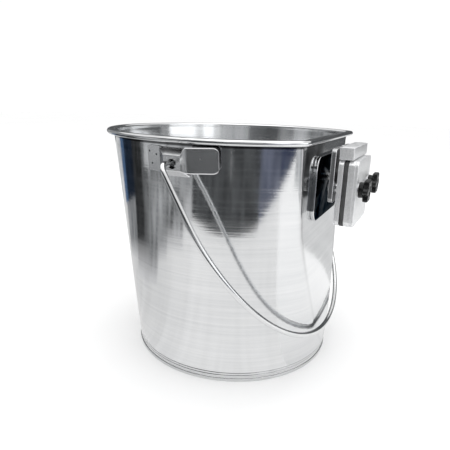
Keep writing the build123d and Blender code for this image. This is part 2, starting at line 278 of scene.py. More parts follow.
class Nodes:
    """A material's node tree, with short calls to add nodes and link them."""

    def __init__(self, name):
        self.material = bpy.data.materials.new(name)
        self.material.use_nodes = True
        self.tree = self.material.node_tree
        self.shader = self.tree.nodes["Principled BSDF"]

    def add(self, kind, inputs=None, **settings):
        """Add a node; inputs holds socket values or links by name or index."""
        node = self.tree.nodes.new(kind)
        for key, value in settings.items():
            setattr(node, key, value)
        for key, value in (inputs or {}).items():
            self.feed(node.inputs[key], value)
        return node

    def feed(self, socket, value):
        """Link an output to a socket, or set the socket's own value."""
        if isinstance(value, bpy.types.NodeSocket):
            self.tree.links.new(value, socket)
        else:
            socket.default_value = value

    def set(self, **values):
        """Set or link sockets of the main shader; underscores stand for spaces."""
        for key, value in values.items():
            self.feed(self.shader.inputs[key.replace("_", " ")], value)

    def place(self, scale=(1, 1, 1)):
        """Object coordinates stretched by a scale."""
        coordinates = self.add("ShaderNodeTexCoord").outputs["Object"]
        mapping = self.add("ShaderNodeMapping", {"Vector": coordinates, "Scale": scale})
        return mapping.outputs["Vector"]

    def noise(self, scale, detail=3.0, roughness=0.55, vector=None, stretch=(1, 1, 1)):
        """Noise pattern, 0 to 1."""
        node = self.add("ShaderNodeTexNoise", {
            "Vector": vector or self.place(stretch),
            "Scale": scale, "Detail": detail, "Roughness": roughness,
        })
        return node.outputs["Fac"]

    def spread(self, value, low, high, source_low=0.3, source_high=0.7):
        """Stretch a pattern to the range from low to high."""
        node = self.add("ShaderNodeMapRange", {
            "Value": value, "From Min": source_low, "From Max": source_high,
            "To Min": low, "To Max": high,
        })
        return node.outputs["Result"]

    def blend(self, first, second, share):
        """Mix of two patterns, with a share of the second."""
        node = self.add("ShaderNodeMix", {0: share, 2: first, 3: second}, data_type="FLOAT")
        return node.outputs[0]

    def share(self, name):
        """Share kept on the mesh under a name, 0 where there is none."""
        return self.add("ShaderNodeAttribute", attribute_name=name).outputs["Fac"]

    def layer(self, under, over, share):
        """Colour with a share of another laid over it."""
        node = self.add("ShaderNodeMix", {0: share, 6: under, 7: over}, data_type="RGBA")
        return node.outputs[2]

    def tones(self, value, *stops):
        """Colour ramp from (position, colour) stops."""
        node = self.add("ShaderNodeValToRGB", {"Fac": value})
        ramp = node.color_ramp
        while len(ramp.elements) < len(stops):
            ramp.elements.new(0.5)
        for element, (position, colour) in zip(ramp.elements, stops):
            element.position = position
            element.color = (*colour, 1.0)
        return node.outputs["Color"]

    def bump(self, height, distance, strength=1.0, under=None):
        """Surface relief from a pattern."""
        inputs = {"Height": height, "Distance": distance, "Strength": strength}
        if under is not None:
            inputs["Normal"] = under
        return self.add("ShaderNodeBump", inputs).outputs["Normal"]


def grey(level, tint=0.0):
    """Grey with a slightly cooler tint."""
    return (level * (1 - tint), level * (1 - tint / 2), level)


# Dark colour laid on the pail wall as painted shade in its pressed lines, creases and under the rim, and on
# the ears as dark weld marks.
SHADE_AND_WELD_DARK = (0.02, 0.02, 0.022, 1)
# Light, less metallic colour laid on eased edges as a painted highlight.
EDGE_HIGHLIGHT = (0.9, 0.9, 0.92, 1)


def polished_wall(name, base=0.74, rough=(0.07, 0.16), relief=0.05):
    """Polished steel with fine lines round it, faint smears, and painted shade in the pressed lines of the
    foot, under the rim and in the flat side's creases.
    """
    n = Nodes(name)
    fine = n.noise(1.0, 3.0, 0.6, stretch=(6, 6, 520))
    broad = n.noise(1.0, 3.0, 0.55, stretch=(4, 4, 130))
    smears = n.noise(14.0, 4.0, 0.6)
    lines = n.blend(fine, broad, 0.4)
    mottle = n.blend(lines, smears, 0.3)
    steel = n.tones(mottle, (0.34, grey(base * 0.86, 0.025)), (0.62, grey(base, 0.012)))
    # The shared mask darkens the steel: painted shade on the pail wall.
    n.set(
        Metallic=1.0,
        Base_Color=n.layer(steel, SHADE_AND_WELD_DARK, n.share("shade_and_weld_marks")),
        Roughness=n.spread(mottle, *rough, 0.38, 0.62),
        Anisotropic=0.3,
        Normal=n.bump(lines, relief * MM),
    )
    return n.material


def pressed_steel(name, base=0.6, rough=(0.22, 0.38), grain=900.0):
    """Rolled sheet with a speckled grain, painted highlights on its eased edges, and grime in its weld
    marks.
    """
    n = Nodes(name)
    fine = n.noise(grain, 3.0, 0.6)
    stains = n.noise(90.0, 4.0, 0.65)
    speckle = n.blend(stains, fine, 0.6)
    sheet = n.tones(speckle, (0.3, grey(base * 0.84, 0.02)), (0.7, grey(base, 0.02)))
    edge_highlight = n.share("edge_highlight")
    n.set(
        Metallic=n.spread(edge_highlight, 0.98, 0.4, 0.0, 1.0),
        Base_Color=n.layer(n.layer(sheet, EDGE_HIGHLIGHT, edge_highlight), SHADE_AND_WELD_DARK, n.share("shade_and_weld_marks")),
        Roughness=n.spread(speckle, *rough),
        Normal=n.bump(fine, 0.02 * MM, 0.5),
    )
    return n.material


def satin_aluminium(name, base=0.9, stretch=(1, 1, 1), rough=(0.3, 0.42)):
    """Satin aluminium with drawn lines, a blasted grain and painted highlights on its eased edges."""
    n = Nodes(name)
    lines = n.noise(420.0, 4.0, 0.6, stretch=stretch)
    grain = n.noise(950.0, 3.0, 0.7)
    stains = n.noise(60.0, 3.0, 0.6)
    speckle = n.blend(stains, grain, 0.7)
    sheet = n.tones(speckle, (0.34, grey(base * 0.78, 0.02)), (0.64, grey(base, 0.01)))
    edge_highlight = n.share("edge_highlight")
    n.set(
        Metallic=n.spread(edge_highlight, 0.7, 0.5, 0.0, 1.0),
        Base_Color=n.layer(sheet, EDGE_HIGHLIGHT, edge_highlight),
        Roughness=n.spread(lines, *rough),
        Normal=n.bump(grain, 0.02 * MM, 0.35, n.bump(lines, 0.03 * MM, 0.3)),
    )
    return n.material


def bright_wire(name):
    """Polished wire with faint drawing marks."""
    n = Nodes(name)
    marks = n.noise(700.0, 4.0, 0.6)
    patches = n.noise(45.0, 3.0, 0.6)
    n.set(
        Metallic=1.0,
        Base_Color=n.tones(patches, (0.3, grey(0.66, 0.02)), (0.7, grey(0.76, 0.01))),
        Roughness=n.spread(patches, 0.1, 0.2),
        Normal=n.bump(marks, 0.008 * MM, 0.5),
    )
    return n.material


def mirror_steel(name, face_x):
    """Mirror-polished pressed plate: face with faint haze and hairlines, darkened as a painted reflection
    of the shaded gap behind it, and a bright rolled edge.
    """
    n = Nodes(name)
    haze = n.noise(60.0, 4.0, 0.6)
    hairs = n.noise(1.0, 3.0, 0.7, stretch=(300, 2400, 160))
    place = n.add("ShaderNodeTexCoord").outputs["Object"]
    depth = n.add("ShaderNodeSeparateXYZ", {"Vector": place}).outputs["X"]
    front = n.spread(depth, 0.0, 1.0, face_x - 0.25 * MM, face_x - 0.05 * MM)
    # The face's dark colour is a painted reflection of the shade between the plate and the clamp.
    face = n.tones(haze, (0.3, grey(0.14, 0.08)), (0.7, grey(0.22, 0.06)))
    edge = n.tones(haze, (0.3, grey(0.62, 0.02)), (0.7, grey(0.72, 0.02)))
    colour = n.layer(edge, face, front)
    n.set(
        Metallic=1.0,
        Base_Color=colour,
        Specular_Tint=colour,
        Roughness=n.spread(haze, 0.04, 0.1),
        Normal=n.bump(hairs, 0.004 * MM, 0.5),
    )
    return n.material


def black_plastic(name):
    """Moulded black plastic with a fine spark-eroded grain and rubbed patches."""
    n = Nodes(name)
    grain = n.noise(1500.0, 3.0, 0.6)
    rubbed = n.noise(120.0, 3.0, 0.6)
    n.set(
        Base_Color=n.tones(rubbed, (0.3, grey(0.003, 0.1)), (0.75, grey(0.008, 0.08))),
        Roughness=n.spread(rubbed, 0.2, 0.34),
        Normal=n.bump(grain, 0.03 * MM, 0.4),
        Specular_IOR_Level=0.34,
    )
    return n.material


def grey_rubber(name):
    """Matte dark grey pad with a moulded grain."""
    n = Nodes(name)
    grain = n.noise(1100.0, 4.0, 0.65)
    dust = n.noise(150.0, 3.0, 0.6)
    n.set(
        Base_Color=n.tones(dust, (0.3, grey(0.035, 0.04)), (0.7, grey(0.06, 0.03))),
        Roughness=n.spread(dust, 0.5, 0.7),
        Normal=n.bump(grain, 0.06 * MM, 0.5),
    )
    return n.material


def turned_brass(name):
    """Turned brass with fine rings."""
    n = Nodes(name)
    rings = n.noise(1.0, 2.0, 0.6, stretch=(3000, 300, 300))
    n.set(
        Metallic=1.0,
        Base_Color=n.tones(rings, (0.3, (0.58, 0.42, 0.18)), (0.7, (0.72, 0.55, 0.27))),
        Roughness=n.spread(rings, 0.2, 0.35),
        Normal=n.bump(rings, 0.01 * MM, 0.5),
    )
    return n.material


# ---------------------------------------------------------------- pail

def wall_radius(z):
    """Outside radius of the round wall at a height."""
    return BASE_RADIUS + WALL_SLOPE * z


def flat_distance(z):
    """Outside of the flat side: upright above, leaning out below, with a soft bend between."""
    lean = (FLAT_BASE_X - FLAT_X) * (1 - z / FLAT_BEND_Z)
    bend = FLAT_BEND_SOFT * math.log1p(math.exp(min(lean / FLAT_BEND_SOFT, 60.0)))
    bend = max(bend, lean)
    return min(FLAT_X + bend, wall_radius(z) - FLAT_FADE)


def flat_bulge(z):
    """How far the lower flat swells out at its middle."""
    below_bend = lerp(0, 1, (FLAT_BEND_Z - z) / (60 * MM))
    above_foot = lerp(0, 1, (z - 25 * MM) / (40 * MM))
    return FLAT_BULGE * below_bend * above_foot


def corner_radius(z):
    """Blend between flat and round wall."""
    fall = max(0.0, (WALL_TOP - z) / WALL_TOP)
    return CORNER_TOP + (CORNER_BASE - CORNER_TOP) * fall ** 2


def d_ring(z, out, level=None):
    """Points round the D-shaped wall at a height, moved out from its surface."""
    shape_z = z if level is None else level
    radius = wall_radius(shape_z) + out
    flat_x = flat_distance(shape_z) + out
    corner = corner_radius(shape_z) + out
    centre_x = flat_x - corner
    centre_y = math.sqrt((radius - corner) ** 2 - centre_x ** 2)
    turn = math.degrees(math.atan2(centre_y, centre_x))
    swell = flat_bulge(shape_z)
    half = [
        (flat_x + swell * (1 - (i / FLAT_STEPS) ** 2), centre_y * i / FLAT_STEPS)
        for i in range(FLAT_STEPS)
    ]
    half += arc_points((centre_x, centre_y), corner, 0, turn, 10)[:-1]
    half += arc_points((0, 0), radius, turn, 180, 96)[:-1]
    other = [(x, -y) for x, y in reversed(half[1:])]
    return [Vector((x, y, z)) for x, y in half + [(-radius, 0.0)] + other]


def groove_depth(z):
    """Depth of the pressed lines near the foot."""
    return sum(GROOVE_DEPTH * math.exp(-((z - g) / GROOVE_HALF) ** 2) for g in GROOVES)


def painted_wall_shade(z):
    """Share of painted shade on the outer wall: in the pressed lines of the foot and under the rolled rim.
    """
    lines = sum(GROOVE_SHADE * math.exp(-((z - g) / GROOVE_HALF) ** 2) for g in GROOVES)
    under_rim = CREVICE_SHADE * lerp(0, 1, (z - WALL_TOP + CREVICE_DEPTH) / CREVICE_FADE)
    return min(1.0, lines + under_rim)


def painted_crease_shade(point, ring):
    """Share of painted shade in the faint crease where the flat side meets the near and far corners."""
    reach = min((point - ring[i]).length for i in (CORNER_START, -CORNER_START))
    high = lerp(0.14, 0.42, (point.z - 90 * MM) / (60 * MM))
    return high * math.exp(-(reach / CREASE_HALF) ** 2)


def wall_levels():
    """Heights of the rings on the wall, close together at the pressed lines and under the rim."""
    foot = [WALL_FOOT + 0.25 * MM * i for i in range(40)]
    first, last = foot[-1], WALL_TOP - 2 * CREVICE_DEPTH
    count = 58
    middle = [first + (last - first) * (i + 1) / count for i in range(count)]
    top = [last + (WALL_TOP - last) * (i + 1) / 10 for i in range(10)]
    return foot + middle + top


def rim_profile():
    """Section of the rolled rim as (out, height) points, from the outer wall round to the inner wall."""
    left, right = -SHEET, RIM_WIDTH
    top, bottom = PAIL_HEIGHT, WALL_TOP
    inner = RIM_ROUND - SHEET
    low, high = bottom + RIM_ROUND, top - RIM_ROUND
    near, far = left + RIM_ROUND, right - RIM_ROUND
    hollow = arc_points((near, high), inner, 180, 90, 6)
    hollow += arc_points((far, high), inner, 90, 0, 6)
    hollow += arc_points((far, low), inner, 0, -90, 6)
    hollow += [(RIM_SLOT + 0.3 * MM, bottom + SHEET), (RIM_SLOT, bottom + 0.7 * SHEET)]
    outer = [(RIM_SLOT, bottom + 0.3 * SHEET), (RIM_SLOT + 0.3 * MM, bottom)]
    outer += arc_points((far, low), RIM_ROUND, -90, 0, 10)
    outer += arc_points((far, high), RIM_ROUND, 0, 90, 10)
    outer += arc_points((near, high), RIM_ROUND, 90, 180, 10)
    return hollow + outer


def rippled(point, amount):
    """Move a wall point slightly in or out, as on rolled sheet."""
    side = Vector((point.x, point.y, 0)).normalized()
    wave = noise.noise(Vector((point.x * 22, point.y * 22, point.z * 9)))
    return point + side * wave * amount


def nicked(point):
    """Press a rim point in and down near the small nicks of the near side."""
    azimuth = math.degrees(math.atan2(point.x, -point.y))
    depth = sum(deep * math.exp(-((azimuth - a) / RIM_NICK_HALF) ** 2) for a, deep in RIM_NICKS)
    side = Vector((point.x, point.y, 0)).normalized()
    return point - (side + Vector((0, 0, 0.7))) * depth * lerp(0, 1, (point.z - WALL_TOP) / RIM_DEPTH)


def make_pail_body(material):
    """Wall and rolled rim as one closed sheet, with the share of painted shade kept at each point."""
    rings, shade_and_weld_marks = [], []
    levels = wall_levels()
    for z in levels:
        fade = min(1.0, (WALL_TOP - z) / RIPPLE_FADE)
        rings.append([rippled(p, WALL_RIPPLE * fade) for p in d_ring(z, -groove_depth(z))])
        shade_and_weld_marks += [min(1.0, painted_wall_shade(z) + painted_crease_shade(p, rings[-1])) for p in rings[-1]]
    for out, z in rim_profile():
        rings.append([nicked(p) for p in d_ring(z, out, WALL_TOP)])
        # The rim's underside and slot get painted shade.
        sheltered = z < WALL_TOP + 0.5 * RIM_ROUND and out < RIM_WIDTH - 0.8 * RIM_ROUND
        shade_and_weld_marks += [CREVICE_SHADE if sheltered else 0.0] * len(rings[-1])
    for z in reversed(levels):
        fade = min(1.0, (WALL_TOP - z) / RIPPLE_FADE)
        rings.append([rippled(p, WALL_RIPPLE * fade) for p in d_ring(z, -SHEET - groove_depth(z))])
        shade_and_weld_marks += [0.0] * len(rings[-1])
    points, faces = loops_to_faces(rings)
    obj = smooth(mesh_object("pail_shell", points, faces), 40)
    keep_shares(obj, "shade_and_weld_marks", "POINT", shade_and_weld_marks)
    return dress(obj, "pail_body", material)


def make_pail_bottom(material):
    """Raised disc with pressed rings, hemmed round the foot of the wall."""
    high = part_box("pail_bottom")[1]
    outer = high.x
    hem_sheet, hem_height, gap = 0.5 * MM, 3.0 * MM, 0.1 * MM
    inner = BASE_RADIUS - SHEET - gap
    leg = inner - SHEET
    top = high.z
    under = top - SHEET
    small = 0.35 * MM
    profile = [(NEAR_AXIS, under), (60 * MM, under), (84 * MM, under)]
    profile += [(leg - 3 * MM, under), (leg - 1 * MM, under - 0.3 * MM), (leg, under - 1.2 * MM)]
    profile += arc_points((leg + small, small), small, 180, 270, 4)
    profile += arc_points((outer - small, small), small, 270, 360, 4)
    profile += arc_points((outer - hem_sheet / 2, hem_height - hem_sheet / 2), hem_sheet / 2, 0, 180, 6)
    profile += [(outer - hem_sheet, 0.8 * MM), (inner, 0.8 * MM), (inner, top - 1.5 * MM)]
    profile += [(inner - 0.4 * MM, top - 0.5 * MM), (inner - 1.4 * MM, top)]
    for radius in (92 * MM, 84 * MM):
        profile += [(radius + 1.6 * MM, top), (radius, top - 0.5 * MM), (radius - 1.6 * MM, top)]
    profile += [(40 * MM, top), (NEAR_AXIS, top)]
    obj = smooth(lathe("pail_base", profile, 200), 40)
    return dress(obj, "pail_bottom", material)


# ---------------------------------------------------------------- ears

def wall_fall(s):
    """How far the round wall falls away beside the ear's middle."""
    radius = wall_radius(EAR_Z)
    return radius - math.sqrt(radius ** 2 - s ** 2)


def rounded_span(s, end, direction, low, high, radius):
    """Lower and upper edge of a plate beside its free end, drawn in by rounded corners."""
    inside = (end - s) * direction
    if inside >= radius:
        return low, high
    drawn = radius - math.sqrt(max(0.0, radius ** 2 - (radius - inside) ** 2))
    return low + drawn, high - drawn


def bridge_column(s):
    """Column of the flange and bridge as (s, n, g), from the lower edge to the upper."""
    skin = (EAR_GAP + EAR_SHEET - wall_fall(s * MM)) / MM
    rise = lerp(0, 1, (s - BRIDGE_S[0]) / (PANEL_S[0] - BRIDGE_S[0]))
    wide = lerp(0, 1, (s - BRIDGE_S[0] + 1.5) / 2)
    panel = lerp(skin, PANEL_N, rise)
    foot = lerp(skin, skin + 0.2, rise)
    low, high = rounded_span(s, FLANGE_S[0], -1, FLANGE_G[0], FLANGE_G[1], FLANGE_ROUND)
    low, high = lerp(low, BRIDGE_G[0], wide), lerp(high, BRIDGE_G[1], wide)
    fold_low = lerp(low + 0.8, PANEL_G[0], rise)
    fold_high = lerp(high - 0.8, PANEL_G[1], rise)
    spill = RUN_OUT * lerp(0, 1, (s - 7.5) / 3.5)
    column = [
        (s + spill * (1 - t), lerp(foot, panel, t), lerp(low, fold_low, t))
        for t in (0.0, 0.12, 0.5, 0.9)
    ]
    column += [(s, panel, lerp(fold_low, fold_high, t)) for t in TAB_ROWS]
    column += [
        (s + spill * t, lerp(panel, foot, t), lerp(fold_high, high, t))
        for t in (0.1, 0.5, 0.88, 1.0)
    ]
    return column


def tab_column(s):
    """Column of the ramp and hook tab, spreading from the panel's two folds to the tab's full height."""
    grow = lerp(0, 1, (s - PANEL_S[1]) / (TAB_S[0] - PANEL_S[1]))
    low = lerp(PANEL_G[0], TAB_G[0], grow)
    high = lerp(PANEL_G[1], TAB_G[1], grow)
    low, high = rounded_span(s, TAB_S[1], 1, low, high, TAB_ROUND)
    ramp = (TAB_N - PANEL_N) / (TAB_S[0] - PANEL_S[1])
    near_bend = max(0.0, TAB_BEND - abs(s - TAB_S[0]))
    n = lerp(PANEL_N, TAB_N, grow) - max(0.0, s - TAB_S[0]) * math.tan(TAB_TURN)
    n -= (ramp + math.tan(TAB_TURN)) * near_bend ** 2 / (4 * TAB_BEND)
    return [(s, n, lerp(low, high, t)) for t in TAB_ROWS]


def corner_steps(end, direction, radius, count=5):
    """Places along a plate's rounded end, closer together towards its tip."""
    turns = [math.radians(90 * i / count) for i in range(count + 1)]
    return [end - direction * radius * (1 - math.sin(turn)) for turn in turns]


def ear_sheet():
    """The ear's outer skin on its own axes, as a list of points and quads."""
    body = list(reversed(corner_steps(FLANGE_S[0], -1, FLANGE_ROUND)))
    body += [-20.5, -16.5, -13.4, -12.3, -11.6, -10.9, -9.6, -7.4, -5.6, -4.9, -4.4, -3.9, -3.0, -1.2, 0.6]
    body += [3.0, 5.5, 8.0, 10.0, 10.8, PANEL_S[1]]
    tab = [11.4, 12.8, 13.8, 14.9, 16.0, 17.1, 18.2, 19.4, 22.0, 28.0, 33.0, 36.0]
    tab += corner_steps(TAB_S[1], 1, TAB_ROUND)
    points, faces = [], []
    rows = len(TAB_ROWS)
    tall = rows + 8
    for s in body:
        points += bridge_column(s)
    for i in range(len(body) - 1):
        for j in range(tall - 1):
            a = i * tall + j
            faces.append((a, a + 1, a + tall + 1, a + tall))
    last = (len(body) - 1) * tall + 4
    for s in tab:
        start = len(points)
        points += tab_column(s)
        for j in range(rows - 1):
            faces.append((last + j, last + j + 1, start + j + 1, start + j))
        last = start
    return points, faces


def ear_cutters():
    """Round cutter for the pivot hole and three shallow ones for the weld marks."""
    work = bmesh.new()
    across = Matrix.Rotation(math.radians(90), 4, "X")
    place = Matrix.Translation((PIVOT_HOLE[0], -8 * MM, PIVOT_HOLE[1]))
    bmesh.ops.create_cone(
        work, cap_ends=True, segments=48, radius1=PIVOT_HOLE_RADIUS, radius2=PIVOT_HOLE_RADIUS,
        depth=12 * MM, matrix=place @ across)
    for s, g in WELD_SPOTS:
        face = -wall_fall(s * MM) + EAR_GAP + EAR_SHEET
        spot = Matrix.Translation((s * MM, -face - 0.35 * MM, g * MM))
        bmesh.ops.create_icosphere(work, subdivisions=3, radius=WELD_RADIUS, matrix=spot)
    mesh = bpy.data.meshes.new("ear_cutter")
    work.to_mesh(mesh)
    work.free()
    return new_object("ear_cutter", mesh)


def weld_grime(mesh, face):
    """Share of grime on an ear's face: only inside a weld mark."""
    corners = [mesh.vertices[i].co for i in face.vertices]
    for s, g in WELD_SPOTS:
        if all(math.hypot(p.x - s * MM, p.z - g * MM) < WELD_RADIUS for p in corners):
            return 0.9
    return 0.0


def make_ear(side, node, material):
    """Pressed ear: bends rounded, sheet thickness added, edges eased, hole and weld marks cut."""
    points, faces = ear_sheet()
    points = [Vector((s, -n, g)) * MM for s, n, g in points]
    obj = mesh_object(node + "_shape", points, faces)
    if obj.data.polygons[0].normal.y > 0:
        obj.data.flip_normals()
    rounding = obj.modifiers.new("rounding", "SUBSURF")
    rounding.levels = rounding.render_levels = 1
    rounding.boundary_smooth = "ALL"
    sheet = obj.modifiers.new("sheet", "SOLIDIFY")
    sheet.thickness = EAR_SHEET
    sheet.offset = -1.0
    easing = obj.modifiers.new("easing", "SUBSURF")
    easing.levels = easing.render_levels = 1
    cutter = ear_cutters()
    cut = obj.modifiers.new("cut", "BOOLEAN")
    cut.object = cutter
    cut.solver = "EXACT"
    apply_modifiers(obj)
    bpy.data.objects.remove(cutter)
    mark_edge_highlight(obj)
    keep_shares(obj, "shade_and_weld_marks", "FACE", [weld_grime(obj.data, face) for face in obj.data.polygons])
    up = Vector((0, -math.sin(WALL_LEAN), math.cos(WALL_LEAN)))
    inward = up.cross(Vector((1, 0, 0)))
    frame_turn = Matrix((Vector((1, 0, 0)), inward, up)).transposed().to_4x4()
    obj.data.transform(Matrix.Translation((0, -wall_radius(EAR_Z), EAR_Z)) @ frame_turn)
    if side > 0:
        obj.data.transform(Matrix.Diagonal((1, -1, 1, 1)))
        obj.data.flip_normals()
    return dress(smooth(obj, 35), node, material)


# ---------------------------------------------------------------- bail

def bail_path():
    """Centre line in the bail's own plane as (sideways, down) points: head, elbow, leg, bow, and back."""
    centre = BAIL_DROP - BOW_RADIUS
    start = (BOW_RADIUS * math.cos(LEG_FLARE), centre - BOW_RADIUS * math.sin(LEG_FLARE))
    corner = start[0] - start[1] * math.tan(LEG_FLARE)
    turn = math.radians(90) - LEG_FLARE
    reach = ELBOW_RADIUS * math.tan(turn / 2)
    elbow = (corner - reach, ELBOW_RADIUS)
    half = [(sum(HEAD_Y) / 2, 0.0)]
    half += [(half[0][0] + (elbow[0] - half[0][0]) * i / 3, 0.0) for i in (1, 2)]
    half += arc_points(elbow, ELBOW_RADIUS, -90, -90 + math.degrees(turn), 12)
    end = half[-1]
    half += [
        (end[0] + (start[0] - end[0]) * i / 8, end[1] + (start[1] - end[1]) * i / 8)
        for i in range(1, 8)
    ]
    half += arc_points((0, centre), BOW_RADIUS, -math.degrees(LEG_FLARE), 90, 72)
    return half + [(-y, down) for y, down in reversed(half[:-1])]


def make_bail(material):
    """Round wire swept along its path, with a peened head on each end."""
    path = [Vector((y, down, 0)) for y, down in bail_path()]
    sides = 28
    rings = []
    for i, point in enumerate(path):
        ahead = path[min(i + 1, len(path) - 1)] - path[max(i - 1, 0)]
        across = Vector((ahead.y, -ahead.x, 0)).normalized()
        rings.append([
            point + WIRE_RADIUS * (math.cos(a) * across + math.sin(a) * Vector((0, 0, 1)))
            for a in (2 * math.pi * k / sides for k in range(sides))
        ])
    points, faces = loops_to_faces(rings, False)
    faces.append(tuple(range(sides)))
    faces.append(tuple(range(len(points) - sides, len(points))))
    wire = mesh_object("bail", points, faces)
    down = Vector((math.sin(BAIL_TILT), 0, -math.cos(BAIL_TILT)))
    aside = Vector((0, 1, 0))
    turn = Matrix((aside, down, aside.cross(down))).transposed().to_4x4()
    wire.data.transform(Matrix.Translation(PIVOT) @ turn)
    smooth(wire, 50)
    dress(wire, "bail_wire", material)
    thick = HEAD_Y[1] - HEAD_Y[0]
    rounding = thick * 0.45
    profile = [(NEAR_AXIS, -thick / 2)]
    profile += arc_points((HEAD_RADIUS - rounding, rounding - thick / 2), rounding, -90, 0, 5)
    profile += arc_points((HEAD_RADIUS - rounding, thick / 2 - rounding), rounding, 0, 90, 5)
    profile += [(NEAR_AXIS, thick / 2)]
    for name, side in (("near", -1), ("far", 1)):
        spot = PIVOT + Vector((0, side * sum(HEAD_Y) / 2, 0))
        head = lathe("bail_head_" + name, profile, 48, spot, Matrix.Rotation(math.radians(90), 3, "X"))
        dress(smooth(head, 40), "bail_wire", material)


# ---------------------------------------------------------------- plates, screws and knobs

def softened(node, width, material, segments=3, angle=35):
    """A CAD node's own shape with its sharp edges eased by a small round."""
    mesh = frame["nodes"][node].data.copy()
    if "custom_normal" in mesh.attributes:
        mesh.attributes.remove(mesh.attributes["custom_normal"])
    work = bmesh.new()
    work.from_mesh(mesh)
    bmesh.ops.remove_doubles(work, verts=work.verts, dist=0.001 * MM)
    bmesh.ops.dissolve_limit(
        work, angle_limit=math.radians(0.5), verts=work.verts, edges=work.edges, delimit=set())
    work.to_mesh(mesh)
    work.free()
    obj = new_object(node + "_shape", mesh)
    easing = obj.modifiers.new("easing", "BEVEL")
    easing.width = width
    easing.segments = segments
    easing.limit_method = "ANGLE"
    easing.angle_limit = math.radians(angle)
    easing.harden_normals = False
    apply_modifiers(obj)
    mark_edge_highlight(obj)
    return dress(smooth(obj, 30), node, material)


def star_radius(angle, reach, waist, lobes=6):
    """Outline of the star knob's head: rounded lobes with scooped waists between them."""
    wave = 0.5 + 0.5 * math.cos(lobes * angle)
    return waist + (reach - waist) * wave ** 0.8


def make_knob(node, material):
    """Star knob along X: round hub, lobed head with rounded edges, dished cap, and a blind bore."""
    low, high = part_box(node)
    centre = (low + high) / 2
    reach = (high.y - low.y) / 2
    length = high.x - low.x
    waist = 0.67 * reach
    hub = 7.0 * MM
    hub_length = 4.2 * MM
    insert_low, insert_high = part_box(node.replace("star_knob", "knob_insert"))
    bore = (insert_high.y - insert_low.y) / 2 + 0.02 * MM
    bore_depth = insert_high.x - low.x + 0.05 * MM
    ease = 1.1 * MM
    # Rows from the bore out, round and back to the cap's middle: depth, size and share of the star's
    # outline. A whole star's size is what it adds to that outline; any other is a radius.
    rows = [(bore_depth, NEAR_AXIS, 0), (bore_depth, bore, 0)]
    rows += [(0.3 * MM, bore, 0), (0.0, bore + 0.3 * MM, 0)]
    rows += [(0.0, hub - 0.5 * MM, 0), (0.15 * MM, hub - 0.15 * MM, 0), (0.5 * MM, hub, 0)]
    rows += [(hub_length - 0.8 * MM, hub * 0.96, 0), (hub_length - 0.2 * MM, hub * 0.98, 0.1)]
    steps = 6
    for i in range(steps + 1):
        turn = math.radians(90 * i / steps)
        rows.append((hub_length + ease * (1 - math.cos(turn)), -ease * (1 - math.sin(turn)), 1))
    for i in range(steps + 1):
        turn = math.radians(90 * i / steps)
        rows.append((length - ease * (1 - math.sin(turn)) - 0.25 * MM, -ease * (1 - math.cos(turn)), 1))
    rows += [(length, -3.2 * MM, 1), (length, 5.2 * MM, 0), (length - 0.5 * MM, 4.8 * MM, 0)]
    rows += [(length - 0.6 * MM, 2.4 * MM, 0), (length - 0.45 * MM, NEAR_AXIS, 0)]
    count = 144
    rings = []
    for x, size, star in rows:
        ring = []
        for k in range(count):
            angle = 2 * math.pi * k / count
            lobed = star_radius(angle, reach, waist)
            radius = lobed + size if star == 1 else (1 - star) * size + star * lobed
            y = centre.y + radius * math.cos(angle)
            z = centre.z + radius * math.sin(angle)
            ring.append(Vector((low.x + x, y, z)))
        rings.append(ring)
    points, faces = loops_to_faces(rings, False)
    obj = smooth(mesh_object(node + "_shape", points, faces), 50)
    return dress(obj, node, material)


# ---------------------------------------------------------------- studio

BANDS_AROUND = 18.0
BANDS_OUTWARD = 3.0
TABLE_GLOW = (0.78, 0.78, 0.79, 1)
